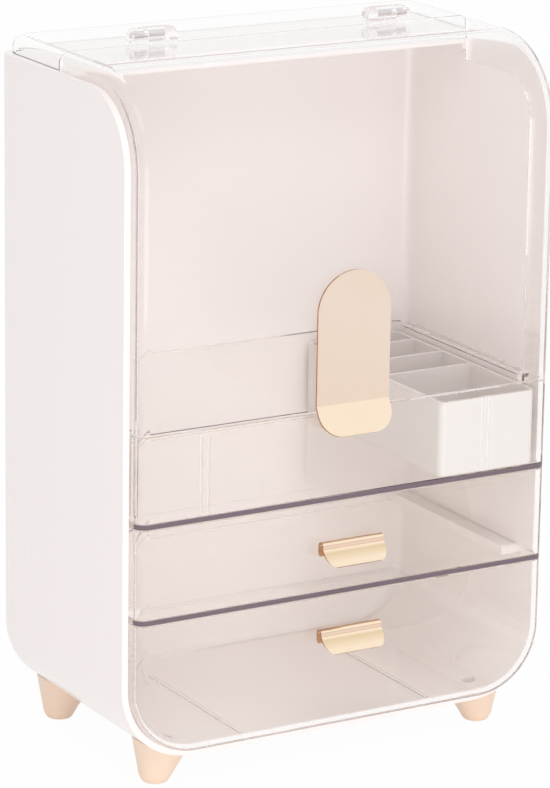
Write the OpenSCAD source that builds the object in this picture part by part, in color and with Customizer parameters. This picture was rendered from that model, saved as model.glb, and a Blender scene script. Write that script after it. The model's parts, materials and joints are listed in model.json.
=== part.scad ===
// Dustproof makeup organizer: a white casing on four splayed feet, with a
// hinged clear lid over a clear tray, and two clear drawers under it.
// X runs across the front, -Y is the front, +Z is up. The origin lies on the
// surface it stands on, under the middle of the whole outline.

/* [Casing] */
// Width across the side panels
case_width = 250; // [210:1:300]
// Depth from the front edges to the back
case_depth = 136; // [115:1:170]
// Height from the underside to the top of the side panels
case_height = 342; // [290:1:400]
// Thickness of the side panels and the floor
case_wall = 3.4; // [2.6:0.2:4.2]
// Thickness of the back
back_wall = 3; // [2:0.2:4]
// Radius of the two lower corners, seen from the front
base_radius = 40; // [32:1:46]
// Radius of the upper front corners, seen from the side
nose_radius = 37; // [30:1:44]
// Radius of the upright edges at the back
back_radius = 9; // [8:1:12]

/* [Storeys] */
// Height of the lower drawer's storey, from the underside of the casing
lower_storey = 76; // [66:1:90]
// Height of the upper drawer's storey
upper_storey = 50; // [42:1:60]
// Height of the tray's storey
tray_storey = 48; // [40:1:58]
// Gap between one clear front and the next
front_gap = 0.8; // [0.6:0.1:1.2]

/* [Clear parts] */
// How far the clear fronts stand out past the casing's edges
face_proud = 9.5; // [7:0.5:12]
// Radius round the edges of the clear fronts
face_radius = 6; // [4.5:0.5:8]
// Wall of the tray and the drawers
box_wall = 2.4; // [1.8:0.2:3]
// Floor of the tray and the drawers
box_floor = 2.6; // [2:0.2:3.2]
// Wall of the lid and the rear cover
lid_wall = 2.6; // [2:0.2:3.2]
// How far the lid's side flanges reach in behind the casing's edges
lid_nest = 14; // [8:1:18]
// Distance from the casing's front edges back to the seam behind the lid
seam_setback = 76; // [68:0.5:90]
// Distance from the back of the rear cover to the back of the casing
cover_inset = 1.5; // [1:0.5:4]
// Radius of the rear cover's two rear corners, seen from above
cover_corner = 9; // [8.5:0.5:12]

/* [Clearances] */
// Gap between the clear parts and the inside of the casing
side_gap = 0.5; // [0.4:0.1:0.8]
// Running gap over the rails and behind the lid
run_gap = 0.3; // [0.3:0.1:0.6]
// Gap behind the drawers and the tray
rear_gap = 0.6; // [0.4:0.1:1]

/* [Rails and ribs] */
// Width of the rails that carry the tray
rail_width = 4; // [3:0.5:6]
// Width of the rails that carry the upper drawer
drawer_rail_width = 12; // [8:0.5:14]
// Height of a rail
rail_height = 4.5; // [3.5:0.5:6]
// Distance from the casing's front edge to the front end of a rail
rail_setback = 14; // [10:1:20]
// Distance of the tray's divider ribs from the middle
rib_offset = 83; // [70:1:92]
// Spacing of the two ribs in a pair
rib_spacing = 4.2; // [3:0.2:6]
// Distance of the lower drawer's floor ribs from the middle
floor_rib_offset = 56; // [40:1:70]

/* [Tray insert] */
// Width of the insert
insert_width = 58; // [45:1:70]
// Drop of the insert's rim below the top of the tray's storey
insert_drop = 5.5; // [4:0.5:10]
// Wall of the insert
insert_wall = 1.8; // [1.4:0.2:2.4]
// Depth of the insert's front cell
front_cell = 59; // [45:1:65]
// Spacing of the partitions behind the front cell
cell_pitch = 28; // [22:1:30]
// Radius of the insert's upright edges
insert_radius = 4; // [2:0.5:6]

/* [Feet] */
// Height of the feet
foot_height = 16.5; // [14:0.5:24]
// Diameter of a foot where it meets the ground
foot_tip = 16.5; // [12:0.5:22]
// Widening of a foot's radius for each millimetre of height
foot_flare = 0.37; // [0.25:0.01:0.45]
// Outward lean of the feet
foot_lean = 11.5; // [6:0.5:16]
// Distance of a foot's tip from the side of the casing
foot_side_inset = 27.5; // [22:0.5:36]
// Distance of a foot's tip from the front or the back of the casing
foot_end_inset = 15; // [14:0.5:24]
// Shank diameter of the foot screws
screw_shank = 3.4; // [3:0.1:4]
// Head diameter of the foot screws
screw_head = 7; // [6:0.5:8]

/* [Lid handle] */
// Width of the lid's handle plate
plate_width = 42.5; // [34:0.5:50]
// Height of the plate above its fold
plate_rise = 69; // [55:1:80]
// Height of the fold above the lid's lower edge
fold_rise = 3; // [2:0.5:6]
// Length of the flared lip below the fold
lip_length = 17; // [12:0.5:20]
// Angle of the lip out from the lid
lip_angle = 28; // [20:1:35]
// Radius of the lip's corners
lip_radius = 12; // [8:1:16]
// Thickness of the metal
metal = 1.2; // [0.8:0.1:1.6]
// Thickness of the adhesive pads
pad = 0.8; // [0.5:0.1:1.2]

/* [Drawer pulls] */
// Width of a pull
pull_width = 36; // [30:0.5:46]
// Radius of the roll at the top of a pull
roll_radius = 2.4; // [2.2:0.1:3.2]
// Radius of the sweep that turns the pull outwards
sweep_radius = 2.5; // [2:0.5:5]
// Angle of the pull's lip below the horizontal
pull_angle = 52; // [48:1:75]
// Length of the straight lip
pull_lip = 9.5; // [9:0.5:12]
// Radius of the lip's corners
pull_corner = 7; // [3:0.5:7]
// Distance of the upper pull below the top of its storey
upper_pull_drop = 19.5; // [14:0.5:24]
// Distance of the lower pull below the top of its storey
lower_pull_drop = 16; // [12:0.5:30]

/* [Hinges] */
// Distance from the middle to the inner end of a hinge
hinge_inner = 56.5; // [45:0.5:62]
// Width of the leaf that moves with the lid
leaf_width = 16.5; // [14:0.5:20]
// Width of the block on the rear cover
block_width = 8.5; // [7:0.5:12]
// Height of the pin above the top of the lid
pin_rise = 5.2; // [4.6:0.1:6]
// Radius of the knuckles
knuckle_radius = 3.8; // [3.4:0.1:4.2]
// Diameter of the pin
pin_diameter = 3.6; // [2.6:0.1:4]
// Play of the pin in the leaf, all round
pin_play = 0.15; // [0.1:0.05:0.25]
// Rounding of a hinge's upper corner at the block's outer end
block_corner = 5; // [3:0.5:6]
// Rounding of a hinge's upper corner at the leaf's inner end
leaf_corner = 4; // [3:0.5:6]

/* [Hidden] */

$fn = 96;
white = [0.93, 0.915, 0.895];
clear = [0.90, 0.86, 0.855, 0.45];
gold = [0.93, 0.80, 0.66];
peach = [0.98, 0.86, 0.73];
steel = [0.75, 0.75, 0.76];
tape = [0.95, 0.93, 0.90];
far = 1000;      // longer than anything in the part
skin = 0.01;     // overlap that joins two shapes of one piece
past = 2;        // how far a cut runs past the face it starts from

// the pulls reach out furthest, so they set the middle of the outline, which
// front_y takes to a tenth of a millimetre
pull_reach = pad + 2 * roll_radius + sweep_radius * (1 - sin(pull_angle))
    + pull_lip * cos(pull_angle);
pull_fall = roll_radius + (sweep_radius + metal) * cos(pull_angle) + pull_lip * sin(pull_angle);
front_y = -round(5 * (case_depth - face_proud - pull_reach)) / 10;
back_y = front_y + case_depth;
face_y = front_y - face_proud;
joint_y = back_y - back_radius;
seam_y = front_y + seam_setback;

half_width = case_width / 2;
inner_half = half_width - case_wall;
face_half = inner_half - side_gap;
tray_half = inner_half - rail_width - side_gap;

base_z = foot_height;
floor_z = base_z + case_wall;
top_z = base_z + case_height;
crown_z = top_z + face_proud;
lower_top = base_z + lower_storey;
upper_top = lower_top + upper_storey;
tray_top = upper_top + tray_storey;
half_gap = front_gap / 2;
lid_low = tray_top + half_gap;

base_inner = base_radius - case_wall;
base_clear = base_inner - side_gap;
drawer_low = floor_z + side_gap;
drawer_back = joint_y - rear_gap;
tray_back = back_y - back_wall - rear_gap;
box_corner = 5;          // radius of the boxes' rear upright edges
inner_corner = 1;        // radius of the tray's inner corners behind its bay
rail_nose = 2;           // rounding of a rail's front end
bay_gap = 4;             // from the rear of a wide front bay to the rails behind it
bay_back = front_y + rail_setback - bay_gap;
rim_gap = 1.1;           // from the tray's side rim to the side panel
rim_root = 1;            // how far the rim starts inside the wall that carries it
rim_width = rail_width + side_gap - rim_gap;
tray_rail_top = tray_top - half_gap - box_wall;
drawer_rail_top = lower_top + half_gap - run_gap;
low_side_top = drawer_rail_top - rail_height - run_gap;
rib_width = 1;
rib_proud = 0.7;
rib_drop = 4;            // from the tray's rim down to the top of a rib
floor_rib = [2, 0.8];    // width and height of the drawer's floor ribs
floor_rib_end = 20;      // from the end of a floor rib to the drawer's back

nose_y = front_y + nose_radius;
nose_z = top_z - nose_radius;
lid_outer = nose_radius + face_proud;
lid_depth = face_proud + lid_nest;
cover_back = back_y - cover_inset;
cleat = 4;               // ledge under the top panel
cleat_y = seam_y + 2;    // front end of the ledge, clear of the lid
fit_gap = 0.2;           // between pieces that are stuck together

foot_x = half_width - foot_side_inset;
foot_y = [front_y + foot_end_inset, back_y - foot_end_inset];
foot_reach = foot_height + 12;   // length of the untrimmed cone
foot_lift = 6;                   // height of the ball that rounds the tip
foot_blend = 0.06;               // keeps the cone inside the ball where they meet
screw_inset = 2;                 // from the foot's axis in to its screw, at the casing
screw_x = foot_x - tan(foot_lean) * foot_height - screw_inset;
head_sink = 1.6;                 // depth of the screw head's seat in the floor
screw_seat = floor_z - head_sink;
screw_cap = 1.4;
screw_length = 11;
screw_tip = 0.5;                 // room past the screw's end
screw_play = 0.1;                // all round the shank
head_play = 0.2;                 // all round the head

fold_z = lid_low + fold_rise;
plate_y = face_y - pad;
pad_margin = 4;          // from the edge of the plate to its pad
strip_margin = [2, 0.5]; // from the edges of a pull's flange to its pad
upper_pull_z = upper_top - upper_pull_drop;
lower_pull_z = lower_top - lower_pull_drop;
pull_flange = 8;         // height of the flange that is stuck on

insert_x1 = tray_half - box_wall - side_gap;
insert_x0 = insert_x1 - insert_width;
insert_y0 = face_y + box_wall + rib_proud + run_gap;
insert_y1 = tray_back - box_wall - side_gap;
insert_z0 = upper_top + half_gap + box_floor + fit_gap;
insert_z1 = tray_top - insert_drop;
cell_y0 = insert_y0 + front_cell;
least_cell = 12;         // the last cell is at least this deep
cell_count = floor((insert_y1 - cell_y0 - least_cell) / cell_pitch) + 1;

pin_z = crown_z + pin_rise;
block_x0 = hinge_inner + leaf_width + run_gap;
block_x1 = block_x0 + block_width;
leaf_x1 = hinge_inner + leaf_width;
hinge_high = pin_rise + knuckle_radius;
pin_depth = 10;          // how far the pin reaches into the leaf
pin_end = 1.5;           // plastic left at the block's outer end
pin_slack = 0.5;         // room past the pin's inner end
pin_press = 0.05;        // fit of the pin in the block, all round
seam_gap = 0.4;          // from the seam to the part on either side
hinge_edge = 0.4;        // rounding where the block and the leaf meet

// ---- shared shapes ----

// extrudes an (x, z) outline from y0 to y1
module along_y(y0, y1)
    translate([0, y1, 0]) rotate([90, 0, 0]) linear_extrude(y1 - y0) children();

// extrudes a (y, z) outline from x0 to x1
module along_x(x0, x1)
    translate([x0, 0, 0]) rotate([90, 0, 90]) linear_extrude(x1 - x0) children();

// makes the copy on one side: -1 is the left, 1 the right
module on_side(s)
    if (s > 0) children(); else mirror([1, 0, 0]) children();

// front view: a rectangle with its two lower corners rounded
module tub(half, low, high, r) {
    translate([-half, low + r]) square([2 * half, high - low - r]);
    translate([-(half - r), low]) square([2 * (half - r), r + skin]);
    for (s = [-1, 1]) translate([s * (half - r), low + r]) circle(r);
}

// plan of a box: front corners of radius rf, rear corners of radius rb
module box_plan(half, y0, y1, rf, rb) {
    translate([-half, y0 + rf]) square([2 * half, y1 - y0 - rf - rb]);
    translate([-(half - rf), y0]) square([2 * (half - rf), rf + skin]);
    translate([-(half - rb), y1 - rb - skin]) square([2 * (half - rb), rb + skin]);
    for (s = [-1, 1]) {
        translate([s * (half - rf), y0 + rf]) circle(rf);
        translate([s * (half - rb), y1 - rb]) circle(rb);
    }
}

// a block with the tub outline that runs from the plane y = 0 to its face at
// y = -depth, with an edge of radius e round the face's sides and bottom
module pillow(half, low, high, r, e, depth) {
    ring = r - e;
    if (depth > e) along_y(-depth + e, 0) tub(half, low, high, r);
    along_y(-depth, -depth + e) tub(half - e, low + e, high, ring);
    translate([0, e - depth, 0]) {
        for (s = [-1, 1]) on_side(s) {
            translate([half - e, 0, low + r]) linear_extrude(high - low - r) edge_round(e);
            translate([half - r, 0, low + r]) rotate([90, 90, 0])
                rotate_extrude(angle = 90) translate([ring, 0]) mirror([0, 1]) edge_round(e);
        }
        translate([half - r, 0, low + e]) rotate([0, 90, 180])
            linear_extrude(2 * (half - r)) mirror([0, 1]) edge_round(e);
    }
}

// quarter disc that rounds an edge: it fills x > 0, y < 0
module edge_round(e)
    intersection() {
        circle(e);
        translate([0, -e]) square([e, e]);
    }

// section of the lid: a channel, rounded along its outer side at n = 0
module channel(half, depth, e) {
    translate([-half, e]) square([2 * half, depth - e]);
    translate([-(half - e), 0]) square([2 * (half - e), e + skin]);
    for (s = [-1, 1]) translate([s * (half - e), e]) circle(e);
}

module channel_wall(half, depth, e, t)
    difference() {
        channel(half, depth, e);
        translate([0, t]) channel(half - t, depth + past, e - t);
    }

// the side panels' outline: upper front corner rounded
module panel_side() {
    translate([front_y, base_z]) square([case_depth, nose_z - base_z]);
    translate([nose_y, base_z]) square([case_depth - nose_radius, case_height]);
    translate([nose_y, nose_z]) circle(nose_radius);
}

// ---- casing ----

module casing() color(white) {
    difference() {
        intersection() {
            along_y(front_y, joint_y) tub(half_width, base_z, top_z, base_radius);
            along_x(-half_width, half_width) panel_side();
        }
        along_y(front_y - past, joint_y + past) tub(inner_half, floor_z, top_z + past, base_inner);
        for (s = [-1, 1]) for (y = foot_y) translate([s * screw_x, y, 0]) {
            translate([0, 0, base_z - past])
                cylinder(d = screw_shank + 2 * screw_play, h = case_wall + 2 * past);
            translate([0, 0, screw_seat]) cylinder(d = screw_head + 2 * head_play, h = case_wall);
        }
    }
    for (s = [-1, 1]) on_side(s)
        translate([inner_half - cleat, cleat_y, top_z - case_wall - cleat])
            cube([cleat + skin, joint_y - cleat_y, cleat]);
}

module back_shape(inset, high, depth)
    pillow(half_width - inset, base_z + inset, high, base_radius - inset,
        back_radius - inset, depth);

module back_panel() color(white) {
    difference() {
        translate([0, joint_y, 0]) mirror([0, 1, 0])
            back_shape(0, top_z, back_radius);
        translate([0, joint_y - past, 0]) mirror([0, 1, 0])
            back_shape(case_wall, top_z - case_wall, back_radius - back_wall + past);
    }
}

module top_panel() color(white)
    translate([-(inner_half - fit_gap), seam_y + seam_gap, top_z - case_wall])
        cube([2 * (inner_half - fit_gap), joint_y - seam_y - seam_gap, case_wall]);

// ---- rear cover ----

// upright section through the cover's rear edge, with the top at z = 0: it
// reaches out to r, and its upper edge has the radius e
module cover_edge(r, e, depth) {
    translate([0, -depth]) square([r, depth - e]);
    translate([0, -e]) square([r - e, e]);
    translate([r - e, -e]) intersection() {
        circle(e);
        square(e);
    }
}

// a slab with rounded upper edges at its sides and back, and with rear
// corners of radius r seen from above
module cover_block(half, y1, crown, r, e, depth) {
    along_y(seam_y + seam_gap, y1 - r) translate([0, crown]) mirror([0, 1]) channel(half, depth, e);
    translate([-(half - r), y1 - r, crown]) rotate([90, 0, 90])
        linear_extrude(2 * (half - r)) cover_edge(r, e, depth);
    for (s = [-1, 1]) on_side(s) translate([half - r, y1 - r, crown])
        rotate_extrude(angle = 90) cover_edge(r, e, depth);
}

module rear_cover() color(clear)
    difference() {
        cover_block(face_half, cover_back, crown_z, cover_corner, face_radius, lid_depth);
        translate([0, -past, 0])
            cover_block(face_half - lid_wall, cover_back - lid_wall + past, crown_z - lid_wall,
                cover_corner - lid_wall, face_radius - lid_wall, lid_depth);
        translate([-far / 2, -far / 2, top_z - far]) cube([far, far, far]);
    }

// ---- rails ----

module rail(top, width) color(white) {
    front = front_y + rail_setback;
    along_x(inner_half - width, inner_half) {
        translate([front, top - rail_height])
            square([joint_y - front, rail_height - rail_nose]);
        translate([front + rail_nose, top - rail_height])
            square([joint_y - front - rail_nose, rail_height]);
        translate([front + rail_nose, top - rail_nose]) circle(rail_nose);
    }
}

module tray_rail_left() on_side(-1) rail(tray_rail_top, rail_width);
module tray_rail_right() on_side(1) rail(tray_rail_top, rail_width);
module drawer_rail_left() on_side(-1) rail(drawer_rail_top, drawer_rail_width);
module drawer_rail_right() on_side(1) rail(drawer_rail_top, drawer_rail_width);

// ---- tray ----

// the tray is as wide as the casing in its front bay and narrower behind it,
// where it hangs between the rails
module tray() color(clear) {
    low = upper_top + half_gap;
    high = tray_top - half_gap;
    floor_top = low + box_floor;
    difference() {
        union() {
            translate([0, 0, low]) linear_extrude(high - low)
                box_plan(face_half, face_y, bay_back, face_radius, inner_corner);
            translate([0, 0, low]) linear_extrude(high - low)
                box_plan(tray_half, face_y + face_radius, tray_back, inner_corner, box_corner);
            // side rims that lie on the rails
            for (s = [-1, 1]) on_side(s)
                translate([tray_half - rim_root, bay_back - rim_root, high - box_wall])
                    cube([rim_width + rim_root, joint_y - bay_back - rear_gap, box_wall]);
        }
        translate([0, 0, floor_top]) linear_extrude(tray_storey)
            box_plan(face_half - box_wall, face_y + box_wall, bay_back - box_wall,
                face_radius - box_wall, inner_corner);
        translate([0, 0, floor_top]) linear_extrude(tray_storey)
            box_plan(tray_half - box_wall, face_y + face_radius, tray_back - box_wall,
                inner_corner, box_corner - box_wall);
    }
    // divider ribs inside the front wall
    for (s = [-1, 1]) for (k = [-1, 1])
        translate([s * rib_offset + k * rib_spacing / 2 - rib_width / 2,
                face_y + box_wall - skin, floor_top - skin])
            cube([rib_width, rib_proud + skin, high - floor_top - rib_drop]);
}

// ---- drawers ----

module upper_drawer() color(clear) {
    low = lower_top + half_gap;
    high = upper_top - half_gap;
    difference() {
        translate([0, 0, low]) linear_extrude(high - low)
            box_plan(face_half, face_y, drawer_back, face_radius, box_corner);
        translate([0, 0, low + box_floor]) linear_extrude(upper_storey)
            box_plan(face_half - box_wall, face_y + box_wall, drawer_back - box_wall,
                face_radius - box_wall, box_corner - box_wall);
    }
}

// behind its front bay the lower drawer is low enough to pass under the rails
module lower_drawer() color(clear) {
    high = lower_top - half_gap;
    depth = drawer_back - face_y;
    floor_top = drawer_low + box_floor;
    difference() {
        translate([0, drawer_back, 0])
            pillow(face_half, drawer_low, high, base_clear, face_radius, depth);
        translate([0, drawer_back - box_wall, 0])
            pillow(face_half - box_wall, floor_top, high + past,
                base_clear - box_wall, face_radius - box_wall, depth - 2 * box_wall);
        translate([-far / 2, bay_back, low_side_top]) cube([far, far, far]);
    }
    for (s = [-1, 1])
        translate([s * floor_rib_offset - floor_rib[0] / 2, front_y, floor_top - skin])
            cube([floor_rib[0], drawer_back - front_y - floor_rib_end, floor_rib[1] + skin]);
}

// ---- pulls ----

// side view of a pull, with y forward from the front and z down from its top
module pull_side() {
    mid = pad + roll_radius;
    in = roll_radius - metal;
    // flange on the pad
    translate([pad, -pull_flange]) square([metal, pull_flange - roll_radius + skin]);
    // roll over the top
    translate([mid, -roll_radius]) intersection() {
        difference() {
            circle(roll_radius);
            circle(in);
        }
        translate([-roll_radius, 0]) square([2 * roll_radius, roll_radius]);
    }
    // sweep outwards, then the straight lip
    hub = [pad + 2 * roll_radius - metal + sweep_radius + metal, -roll_radius];
    translate(hub) intersection() {
        difference() {
            circle(sweep_radius + metal);
            circle(sweep_radius);
        }
        polygon([[0, 0], [-far, 0], [-far, -far], [-far * sin(pull_angle), -far * cos(pull_angle)]]);
    }
    translate(hub) rotate(-pull_angle)
        translate([-skin, -sweep_radius - metal]) square([pull_lip, metal]);
}

module pull(top)
    color(gold) intersection() {
        translate([0, face_y, top]) rotate([90, 0, -90])
            translate([0, 0, -pull_width / 2]) linear_extrude(pull_width) pull_side();
        along_y(face_y - pull_reach - metal, face_y)
            tub(pull_width / 2, top - pull_fall, top + pull_corner, pull_corner);
    }

module pull_pad(top)
    color(tape)
        translate([strip_margin[0] - pull_width / 2, face_y - pad, top - pull_flange + strip_margin[1]])
            cube([pull_width - 2 * strip_margin[0], pad, pull_flange - roll_radius - strip_margin[1]]);

module upper_pull() pull(upper_pull_z);
module upper_pull_pad() pull_pad(upper_pull_z);
module lower_pull() pull(lower_pull_z);
module lower_pull_pad() pull_pad(lower_pull_z);

// ---- lid ----

module lid() color(clear) {
    // front, down to the tray
    translate([0, face_y, lid_low]) linear_extrude(nose_z - lid_low)
        channel_wall(face_half, lid_depth, face_radius, lid_wall);
    // nose
    translate([0, nose_y, nose_z]) rotate([90, 0, -90]) rotate_extrude(angle = 90)
        translate([lid_outer, 0]) rotate(90)
            channel_wall(face_half, lid_depth, face_radius, lid_wall);
    // top, back to the seam
    along_y(nose_y, seam_y - seam_gap) translate([0, crown_z]) mirror([0, 1])
        channel_wall(face_half, lid_depth, face_radius, lid_wall);
}

module plate_outline(inset) {
    half = plate_width / 2 - inset;
    translate([-half, inset]) square([2 * half, plate_rise - plate_width / 2 - inset]);
    translate([0, plate_rise - plate_width / 2]) circle(half);
}

module lip_outline()
    intersection() {
        tub(plate_width / 2, -lip_length, lip_length, lip_radius);
        translate([-plate_width / 2, -lip_length]) square([plate_width, lip_length]);
    }

module lid_handle() color(gold) translate([0, plate_y, fold_z]) {
    rotate([90, 0, 0]) linear_extrude(metal) plate_outline(0);
    rotate([-lip_angle, 0, 0]) rotate([90, 0, 0]) linear_extrude(metal) lip_outline();
    translate([-plate_width / 2, -metal / 2, 0]) rotate([0, 90, 0])
        cylinder(d = metal, h = plate_width, $fn = 24);
}

module lid_handle_pad() color(tape) translate([0, face_y, fold_z])
    rotate([90, 0, 0]) linear_extrude(pad) plate_outline(pad_margin);

// ---- hinges ----

// front view of a hinge part, with its upper corners rounded
module hinge_front(x0, x1, r0, r1) {
    translate([x0, 0]) square([x1 - x0, hinge_high - max(r0, r1)]);
    translate([x0 + r0, 0]) square([x1 - x0 - r0 - r1, hinge_high]);
    translate([x0 + r0, hinge_high - r0]) circle(r0);
    translate([x1 - r1, hinge_high - r1]) circle(r1);
}

// a hinge part: a knuckle with a foot that stands foot_at from the seam
module hinge_shape(x0, x1, r0, r1, foot_at)
    intersection() {
        along_x(x0, x1) translate([seam_y, pin_z]) {
            circle(knuckle_radius);
            translate([foot_at, fit_gap - pin_rise])
                square([knuckle_radius - seam_gap, pin_rise - fit_gap]);
        }
        along_y(seam_y - far / 2, seam_y + far / 2) translate([0, crown_z])
            hinge_front(x0, x1, r0, r1);
    }

module pin_shape(x0, x1, d)
    translate([x0, seam_y, pin_z]) rotate([0, 90, 0]) cylinder(d = d, h = x1 - x0, $fn = 48);

module hinge_block(s) color(clear) on_side(s)
    difference() {
        hinge_shape(block_x0, block_x1, hinge_edge, block_corner, seam_gap);
        pin_shape(block_x0 - past, block_x1 - pin_end, pin_diameter + 2 * pin_press);
    }

module hinge_leaf(s) color(clear) on_side(s)
    difference() {
        hinge_shape(hinge_inner, leaf_x1, leaf_corner, hinge_edge, -knuckle_radius);
        pin_shape(leaf_x1 - pin_depth - pin_slack, leaf_x1 + past, pin_diameter + 2 * pin_play);
    }

module hinge_pin(s) color(steel) on_side(s)
    pin_shape(leaf_x1 - pin_depth, block_x1 - pin_end - fit_gap, pin_diameter);

module hinge_block_left() hinge_block(-1);
module hinge_block_right() hinge_block(1);
module hinge_leaf_left() hinge_leaf(-1);
module hinge_leaf_right() hinge_leaf(1);
module hinge_pin_left() hinge_pin(-1);
module hinge_pin_right() hinge_pin(1);

// ---- insert ----

module tray_insert() color(white) {
    size_x = insert_x1 - insert_x0;
    mid_x = (insert_x0 + insert_x1) / 2;
    inner_r = insert_radius - insert_wall;
    difference() {
        translate([mid_x, 0, insert_z0]) linear_extrude(insert_z1 - insert_z0)
            box_plan(size_x / 2, insert_y0, insert_y1, insert_radius, insert_radius);
        translate([mid_x, 0, insert_z0 + insert_wall]) linear_extrude(tray_storey)
            box_plan(size_x / 2 - insert_wall, insert_y0 + insert_wall, insert_y1 - insert_wall,
                inner_r, inner_r);
    }
    for (i = [0 : cell_count - 1])
        translate([insert_x0 + insert_wall / 2, cell_y0 + i * cell_pitch, insert_z0 + insert_wall / 2])
            cube([size_x - insert_wall, insert_wall, insert_z1 - insert_z0 - insert_wall / 2]);
}

// ---- feet ----

// half section of a foot about its leaning axis, from the middle of its ball
module foot_profile() {
    angle = atan(foot_flare);
    tip = foot_tip / 2;
    ball = tip / cos(angle);
    intersection() {
        circle(ball);
        translate([0, -ball]) square([ball, 2 * ball]);
    }
    translate([0, -ball * sin(angle)]) polygon([[0, 0], [tip - foot_blend, 0],
        [tip - foot_blend + foot_flare * foot_reach, foot_reach], [0, foot_reach]]);
}

module foot(s, i) color(peach) on_side(s)
    difference() {
        translate([foot_x, foot_y[i], foot_lift]) rotate([0, -foot_lean, 0])
            rotate_extrude() foot_profile();
        translate([-far / 2, -far / 2, -far]) cube([far, far, far]);
        along_y(front_y - far / 4, back_y + far / 4)
            tub(half_width + fit_gap, base_z - fit_gap, top_z, base_radius + fit_gap);
        translate([screw_x, foot_y[i], screw_seat - screw_length - screw_tip])
            cylinder(d = screw_shank + 2 * screw_play, h = screw_length + foot_reach);
    }

module foot_front_left() foot(-1, 0);
module foot_front_right() foot(1, 0);
module foot_rear_left() foot(-1, 1);
module foot_rear_right() foot(1, 1);

module foot_screws() color(steel)
    for (s = [-1, 1]) for (y = foot_y) translate([s * screw_x, y, screw_seat]) {
        cylinder(d = screw_head, h = screw_cap, $fn = 48);
        translate([0, 0, -screw_length]) cylinder(d = screw_shank, h = screw_length + skin, $fn = 32);
    }

casing();
back_panel();
top_panel();
rear_cover();
tray();
tray_rail_left();
tray_rail_right();
drawer_rail_left();
drawer_rail_right();
foot_front_left();
foot_front_right();
foot_rear_left();
foot_rear_right();
foot_screws();
hinge_block_left();
hinge_block_right();
hinge_pin_left();
hinge_pin_right();
lid();
lid_handle();
lid_handle_pad();
hinge_leaf_left();
hinge_leaf_right();
upper_drawer();
upper_pull();
upper_pull_pad();
lower_drawer();
lower_pull();
lower_pull_pad();
tray_insert();
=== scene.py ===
"""Looks of a clear-fronted makeup organizer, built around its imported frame."""

import json
import math

import bpy
from mathutils import Matrix, Vector

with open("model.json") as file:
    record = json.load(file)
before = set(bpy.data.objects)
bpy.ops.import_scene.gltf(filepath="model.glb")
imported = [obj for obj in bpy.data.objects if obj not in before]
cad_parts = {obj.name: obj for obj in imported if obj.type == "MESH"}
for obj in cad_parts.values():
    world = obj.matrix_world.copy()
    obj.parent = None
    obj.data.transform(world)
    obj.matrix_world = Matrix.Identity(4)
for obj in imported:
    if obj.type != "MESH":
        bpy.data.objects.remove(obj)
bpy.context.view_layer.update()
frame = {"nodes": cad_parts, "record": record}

MM = 0.001
PHOTO_SIZE = (550, 788)

# Camera of the photograph: where it stands, which way it looks, and its focal length in pixels.
CAMERA_PLACE = Vector((-1.00489, -1.69139, 0.73415))
CAMERA_HEADING = math.radians(30.59)
CAMERA_DOWN = math.radians(15.70)
CAMERA_ROLL = math.radians(0.93)
CAMERA_FOCAL = 3938.3
CAMERA_CLIP = (0.05, 50.0)
SENSOR = 36.0


def srgb(r, g, b):
    """Colour written as 0-255 screen values, in Blender's linear numbers."""
    def linear(v):
        v /= 255
        return v / 12.92 if v <= 0.04045 else ((v + 0.055) / 1.055) ** 2.4
    return (linear(r), linear(g), linear(b), 1.0)


# Lighter and darker tone of each finish, which drifts slowly between the two.
SHELL_TONES = (srgb(249, 242, 240), srgb(248, 240, 238))
INSERT_TONES = (srgb(234, 228, 225), srgb(232, 225, 222))
PEACH_TONES = (srgb(245, 221, 200), srgb(242, 215, 192))
FOAM_TONES = (srgb(240, 232, 222), srgb(230, 221, 210))
STEEL_TONES = (srgb(234, 231, 231), srgb(222, 219, 220))
GOLD_TONES = (srgb(242, 223, 207), srgb(239, 217, 198))
CLEAR_TONES = (srgb(255, 255, 255), srgb(254.4, 254.3, 253.4))
HINGE_TONES = (srgb(254, 253, 253), srgb(251, 250, 250))

# Scale of the drift, and where it starts and ends in the noise.
PLASTIC_DRIFT = (2.5, 0.2, 0.8)
CLEAR_DRIFT = (2.0, 0.2, 0.8)
METAL_DRIFT = (14.0, 0.3, 0.7)

PLASTIC_IOR = 1.5
PLASTIC_SPREAD = 0.1
COAT_ROUGHNESS = 0.08
METAL_ROUGHNESS = (0.16, 0.24)

NONE = (0.0, 0.0, 0.0, 1.0)
FULL = (1.0, 1.0, 1.0, 1.0)

# Painted reflections and shade on the gold: a pink and a dark reflected band, the bright reflection on
# the lip, the crease's shade and the cut edges' shade.
GOLD_PINK_REFLECTION = srgb(238, 206, 184)
GOLD_DARK_REFLECTION = srgb(214, 172, 136)
GOLD_LIP_REFLECTION = srgb(251, 231, 205)
GOLD_CREASE_SHADE = srgb(232, 208, 170)
GOLD_RIM_SHADE = srgb(204, 160, 124)

# Painted reflections on the gold: how far it leans back, as the height of its normal, and the
# reflected tone painted there.
# The first tone is see-through, so upright metal keeps its own colour.
GOLD_LEAN_REFLECTIONS = [
    (0.03, (*GOLD_TONES[0][:3], 0.0)), (0.12, GOLD_PINK_REFLECTION), (0.30, GOLD_PINK_REFLECTION), (0.36, GOLD_DARK_REFLECTION),
    (0.44, GOLD_LIP_REFLECTION), (0.80, GOLD_LIP_REFLECTION), (0.97, GOLD_DARK_REFLECTION),
]

# Where a pull's painted crease shade starts, is deepest and ends, as shares of its height.
CREASE_SHADE_SPAN = [(0.22, NONE), (0.58, FULL), (0.66, NONE)]

# Gold that faces sideways or down by more than this is a cut edge, and gets a darker painted shade.
RIM_SHADE_TURN = 0.45

# Clear plastic: the tones that it takes with depth, and how fast. The lid takes them faster, so that
# its bends show.
CLEAR_IOR = 1.45
CLEAR_DEPTH = srgb(196, 187, 190)
HINGE_DEPTH = srgb(200, 196, 198)
DEPTH_DENSITY = 5.0
LID_DENSITY = 14.0

# A ray caught between the faces of a clear wall is let out after this many turns.
MOST_TURNS = 12.0
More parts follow.
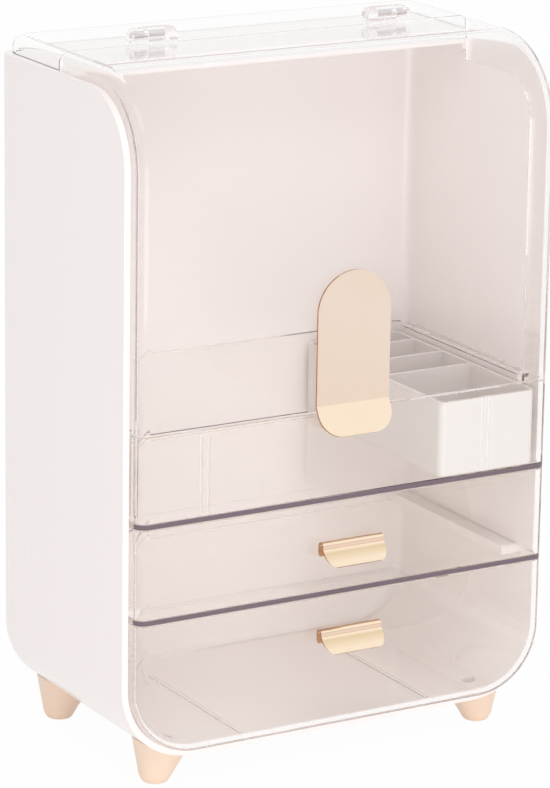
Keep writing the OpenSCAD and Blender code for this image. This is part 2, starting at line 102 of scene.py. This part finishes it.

# Boxes whose floor's front edge gets a painted dark band of shade, the floor's thickness, the painted
# band's tone and gloss, and how far a face looks to the front to be part of it.
SHADED_SLAB_NODES = ("tray", "upper_drawer")
SLAB = 2.6 * MM
SLAB_PAINTED_SHADE = srgb(114, 97, 106)
SLAB_SHADE_ROUGHNESS = 0.12
SLAB_SHADE_FRONT = -0.1

# Air round a foam pad.
SEAT_GAP = 0.06 * MM

# Floor: how far it reaches, its level, its colour, and the share of plain white in what is seen.
FLOOR_REACH = 8.0
FLOOR_LEVEL = -0.0003
FLOOR_WHITE = srgb(252, 252, 252)
FLOOR_GLOW = 0.96

# Brightness of the studio as a light, where 1 is the white that the camera sees.
STUDIO_LIGHT = 0.74

# Lamps: place, aim, width and height, and power in watts.
MIDDLE = (0.0, 0.0, 0.19)
LAMPS = {
    "key": ((-0.9, -2.2, 0.3), MIDDLE, (2.0, 0.8), 3.2),
    "high": ((-0.25, -1.05, 1.9), MIDDLE, (1.8, 1.2), 10.5),
    "low": ((-0.35, -0.95, 0.12), (0.05, 0.0, 0.09), (1.0, 0.3), 2.2),
}


# ---- materials ----

class Nodes:
    """The node tree of a material or of the world, with short calls for the nodes used here."""

    def __init__(self, owner):
        owner.use_nodes = True
        self.owner = owner
        self.tree = owner.node_tree
        self.tree.nodes.clear()
        kind = "World" if isinstance(owner, bpy.types.World) else "Material"
        self.output = self.add("ShaderNodeOutput" + kind)

    def add(self, kind, **values):
        """A new node; each value sets a property, or a socket, with _ for a space in its name."""
        node = self.tree.nodes.new(kind)
        for key, value in values.items():
            if hasattr(node, key):
                setattr(node, key, value)
            else:
                node.inputs[key.replace("_", " ")].default_value = value
        return node

    def link(self, source, target):
        self.tree.links.new(source, target)

    def ramp(self, factor, stops):
        """Outputs of a colour ramp through stops, each a place and a colour."""
        node = self.add("ShaderNodeValToRGB")
        tones = node.color_ramp.elements
        tones[0].position, tones[0].color = stops[0]
        tones[1].position, tones[1].color = stops[-1]
        for place, tone in stops[1:-1]:
            tones.new(place).color = tone
        self.link(factor, node.inputs["Fac"])
        return node.outputs

    def drift(self, how, tones):
        """A colour that drifts slowly between two tones over the surface, and the noise it follows."""
        scale, low, high = how
        light, dark = tones
        place = self.add("ShaderNodeTexCoord")
        noise = self.add("ShaderNodeTexNoise", Scale=scale, Detail=0.0)
        self.link(place.outputs["Object"], noise.inputs["Vector"])
        factor = noise.outputs["Fac"]
        return self.ramp(factor, [(low, dark), (high, light)])["Color"], factor

    def part(self, socket, axis):
        """One coordinate of a vector."""
        split = self.add("ShaderNodeSeparateXYZ")
        self.link(socket, split.inputs["Vector"])
        return split.outputs[axis]

    def math(self, operation, first, second=0.0):
        """An operation on two numbers, each a socket or a value."""
        node = self.add("ShaderNodeMath", operation=operation)
        for slot, value in enumerate((first, second)):
            if isinstance(value, float):
                node.inputs[slot].default_value = value
            else:
                self.link(value, node.inputs[slot])
        return node.outputs["Value"]

    def span(self, factor, low, high):
        """A number that runs from low to high with factor."""
        node = self.add("ShaderNodeMapRange", To_Min=low, To_Max=high)
        self.link(factor, node.inputs["Value"])
        return node.outputs["Result"]

    def blend(self, factor, first, second):
        """A colour that runs from first to second with factor."""
        node = self.add("ShaderNodeMix", data_type="RGBA")
        self.link(factor, node.inputs["Factor"])
        for name, value in (("A", first), ("B", second)):
            slot = [i for i in node.inputs if i.name == name and i.type == "RGBA"][0]
            if isinstance(value, tuple):
                slot.default_value = value
            else:
                self.link(value, slot)
        return [o for o in node.outputs if o.type == "RGBA"][0]

    def mix(self, factor, first, second):
        """A shader that turns from first to second with factor."""
        node = self.add("ShaderNodeMixShader")
        self.link(factor, node.inputs["Fac"])
        self.link(first, node.inputs[1])
        self.link(second, node.inputs[2])
        return node.outputs["Shader"]

    def cover(self, shader, colour, rough):
        """The material, once its surface is this shader with a colour and a roughness."""
        self.link(colour, shader.inputs["Base Color"])
        self.link(rough, shader.inputs["Roughness"])
        self.link(shader.outputs["BSDF"], self.output.inputs["Surface"])
        return self.owner


def new_material(name):
    return Nodes(bpy.data.materials.new(name))


def plastic(name, tones, rough, coat=0.0):
    n = new_material(name)
    shader = n.add(
        "ShaderNodeBsdfPrincipled", IOR=PLASTIC_IOR, Coat_Weight=coat, Coat_Roughness=COAT_ROUGHNESS
    )
    colour, factor = n.drift(PLASTIC_DRIFT, tones)
    low, high = rough * (1 - PLASTIC_SPREAD), rough * (1 + PLASTIC_SPREAD)
    return n.cover(shader, colour, n.span(factor, low, high))


def metal(name, tones):
    n = new_material(name)
    shader = n.add("ShaderNodeBsdfPrincipled", Metallic=1.0)
    colour, factor = n.drift(METAL_DRIFT, tones)
    return n.cover(shader, colour, n.span(factor, *METAL_ROUGHNESS))


def gold(name):
    """Champagne gold with painted reflections by how far the bent sheet leans back, and painted shade
    in its crease and on its cut edges.
    """
    n = new_material(name)
    shader = n.add("ShaderNodeBsdfPrincipled", Metallic=1.0)
    colour, factor = n.drift(METAL_DRIFT, GOLD_TONES)
    place = n.add("ShaderNodeTexCoord")
    facing = place.outputs["Normal"]
    # Painted reflections: the gold's tone follows how far its surface leans back.
    lean = n.ramp(n.part(facing, "Z"), GOLD_LEAN_REFLECTIONS)
    reflected_tone = n.blend(lean["Alpha"], colour, lean["Color"])
    # Painted shade along the pull's crease, placed by height on the piece.
    painted_crease = n.ramp(n.part(place.outputs["Generated"], "Z"), CREASE_SHADE_SPAN)["Color"]
    crease_shade_share = n.math("MULTIPLY", n.part(painted_crease, "X"), lean["Alpha"])
    reflected_tone = n.blend(crease_shade_share, reflected_tone, GOLD_CREASE_SHADE)
    # Painted shade on gold that faces sideways or down.
    sideways = n.math("ABSOLUTE", n.part(facing, "X"))
    downward = n.math("MULTIPLY", n.part(facing, "Z"), -1.0)
    painted_rim = n.math("GREATER_THAN", n.math("MAXIMUM", sideways, downward), RIM_SHADE_TURN)
    return n.cover(shader, n.blend(painted_rim, reflected_tone, GOLD_RIM_SHADE), n.span(factor, *METAL_ROUGHNESS))


def clear(name, tones, depth_colour, density, slab=None):
    """Clear plastic that lamps shine through, darker the further one looks into it.

    slab is the lowest and highest level of a floor whose front edge gets a band of painted shade.
    """
    n = new_material(name)
    shader = n.add(
        "ShaderNodeBsdfPrincipled", Transmission_Weight=1.0, IOR=CLEAR_IOR, Roughness=0.0
    )
    colour, _ = n.drift(CLEAR_DRIFT, tones)
    n.link(colour, shader.inputs["Base Color"])
    solid = shader.outputs["BSDF"]
    if slab:
        solid = paint_slab_shade(n, solid, slab)
    through = n.add("ShaderNodeBsdfTransparent")
    n.link(colour, through.inputs["Color"])
    path = n.add("ShaderNodeLightPath").outputs
    lighting = n.math("MAXIMUM", path["Is Shadow Ray"], path["Is Diffuse Ray"])
    trapped = n.math("GREATER_THAN", path["Ray Depth"], MOST_TURNS)
    open_way = n.math("MAXIMUM", lighting, trapped)
    n.link(n.mix(open_way, solid, through.outputs["BSDF"]), n.output.inputs["Surface"])
    inside = n.add("ShaderNodeVolumeAbsorption", Color=depth_colour, Density=density)
    n.link(inside.outputs["Volume"], n.output.inputs["Volume"])
    return n.owner


def paint_slab_shade(n, solid, slab):
    """Paints shade on the front edge of a floor: an opaque dark band standing in for how clear plastic
    looks seen end on.
    """
    place = n.add("ShaderNodeTexCoord")
    level = n.part(place.outputs["Object"], "Z")
    above = n.math("GREATER_THAN", level, slab[0])
    below = n.math("LESS_THAN", level, slab[1])
    front = n.math("LESS_THAN", n.part(place.outputs["Normal"], "Y"), SLAB_SHADE_FRONT)
    in_shade_band = n.math("MULTIPLY", n.math("MULTIPLY", above, below), front)
    # The painted shade band is an opaque dark surface over the floor's front edge.
    edge = n.add("ShaderNodeBsdfPrincipled", Base_Color=SLAB_PAINTED_SHADE, Roughness=SLAB_SHADE_ROUGHNESS)
    return n.mix(in_shade_band, solid, edge.outputs["BSDF"])


# Material of each slot in the record, and the lid's own.
FINISHES = {
    "shell": plastic("shell_white", SHELL_TONES, rough=0.28, coat=0.3),
    "insert": plastic("insert_white", INSERT_TONES, rough=0.3),
    "foot": plastic("foot_peach", PEACH_TONES, rough=0.4),
    "adhesive_pad": plastic("foam_tape", FOAM_TONES, rough=0.8),
    "gold_metal": gold("champagne_gold_painted_reflections"),
    "steel": metal("bright_steel", STEEL_TONES),
    "clear_plastic": clear("clear_plastic", CLEAR_TONES, CLEAR_DEPTH, DEPTH_DENSITY),
    "hinge_plastic": clear("hinge_plastic", HINGE_TONES, HINGE_DEPTH, DEPTH_DENSITY),
}
LID = clear("lid_plastic", CLEAR_TONES, CLEAR_DEPTH, LID_DENSITY)


def finish_nodes():
    """Gives every CAD node its material."""
    slots = {row["node"]: row["material_slot"] for row in frame["record"]["subparts"]}
    for name, node in frame["nodes"].items():
        finish = FINISHES[slots[name]]
        if name == "lid":
            finish = LID
        # The tray's and upper drawer's floors get a band of painted shade on their front edge.
        elif name in SHADED_SLAB_NODES:
            low = min(vertex.co.z for vertex in node.data.vertices)
            slab = (low, low + SLAB)
            finish = clear(name + "_plastic", CLEAR_TONES, CLEAR_DEPTH, DEPTH_DENSITY, slab)
        node.data.materials.clear()
        node.data.materials.append(finish)


def seat_pads():
    """Leaves a hair of air round each foam pad, so that it shows cleanly through clear plastic."""
    for name, node in frame["nodes"].items():
        if name.endswith("_pad"):
            seat = node.modifiers.new("seat", "DISPLACE")
            seat.strength = -SEAT_GAP
            seat.mid_level = 0.0


# ---- surroundings ----

def add_object(name, data):
    thing = bpy.data.objects.new(name, data)
    bpy.context.scene.collection.objects.link(thing)
    return thing


def seen_directly(n):
    """1 for what the camera sees, also in a reflection or through clear plastic."""
    path = n.add("ShaderNodeLightPath").outputs
    seen = n.math("MAXIMUM", path["Is Camera Ray"], path["Is Glossy Ray"])
    return n.math("MAXIMUM", seen, path["Is Transmission Ray"])


def make_floor():
    """A pale floor that shows the object's shadow faintly, under plain white."""
    mesh = bpy.data.meshes.new("floor")
    size = FLOOR_REACH
    corners = [(-size, -size, 0), (size, -size, 0), (size, size, 0), (-size, size, 0)]
    mesh.from_pydata(corners, [], [(0, 1, 2, 3)])
    floor = add_object("floor", mesh)
    floor.location.z = FLOOR_LEVEL
    n = new_material("floor_white")
    lit = n.add("ShaderNodeBsdfDiffuse", Color=FLOOR_WHITE)
    glow = n.add("ShaderNodeEmission", Strength=1.0)
    share = n.math("MULTIPLY", seen_directly(n), FLOOR_GLOW)
    n.link(n.mix(share, lit.outputs["BSDF"], glow.outputs["Emission"]), n.output.inputs["Surface"])
    mesh.materials.append(n.owner)


def make_world():
    """White where the camera sees it, and dimmer for the light it gives."""
    world = bpy.data.worlds.new("studio")
    bpy.context.scene.world = world
    n = Nodes(world)
    back = n.add("ShaderNodeBackground", Color=FULL)
    n.link(n.span(seen_directly(n), STUDIO_LIGHT, 1.0), back.inputs["Strength"])
    n.link(back.outputs["Background"], n.output.inputs["Surface"])


def make_lamps():
    """Soft lamps that don't show as patches in the gloss."""
    for name, (place, aim, size, power) in LAMPS.items():
        data = bpy.data.lights.new(name, "AREA")
        data.shape = "RECTANGLE"
        data.size, data.size_y = size
        data.energy = power
        lamp = add_object(name, data)
        lamp.location = place
        lamp.visible_glossy = False
        lamp.rotation_euler = (Vector(aim) - Vector(place)).to_track_quat("-Z", "Y").to_euler()


def make_camera():
    heading = Vector((math.sin(CAMERA_HEADING), math.cos(CAMERA_HEADING), 0.0))
    forward = heading * math.cos(CAMERA_DOWN) - Vector((0, 0, math.sin(CAMERA_DOWN)))
    level = Vector((math.cos(CAMERA_HEADING), -math.sin(CAMERA_HEADING), 0.0))
    upright = level.cross(forward)
    right = level * math.cos(CAMERA_ROLL) + upright * math.sin(CAMERA_ROLL)
    up = right.cross(forward)
    data = bpy.data.cameras.new("photo_camera")
    data.sensor_width = SENSOR
    data.lens = CAMERA_FOCAL * SENSOR / max(PHOTO_SIZE)
    data.clip_start, data.clip_end = CAMERA_CLIP
    camera = add_object("photo_camera", data)
    turn = Matrix((right, up, -forward)).transposed()
    camera.matrix_world = Matrix.Translation(CAMERA_PLACE) @ turn.to_4x4()
    bpy.context.scene.camera = camera


finish_nodes()
seat_pads()
make_floor()
make_world()
make_lamps()
make_camera()
bpy.context.scene.view_settings.view_transform = "Standard"

# Light crosses many clear walls before it reaches the drawers.
paths = bpy.context.scene.cycles
paths.max_bounces = 36
paths.diffuse_bounces = 8
paths.glossy_bounces = 28
paths.transmission_bounces = 32
paths.transparent_max_bounces = 40
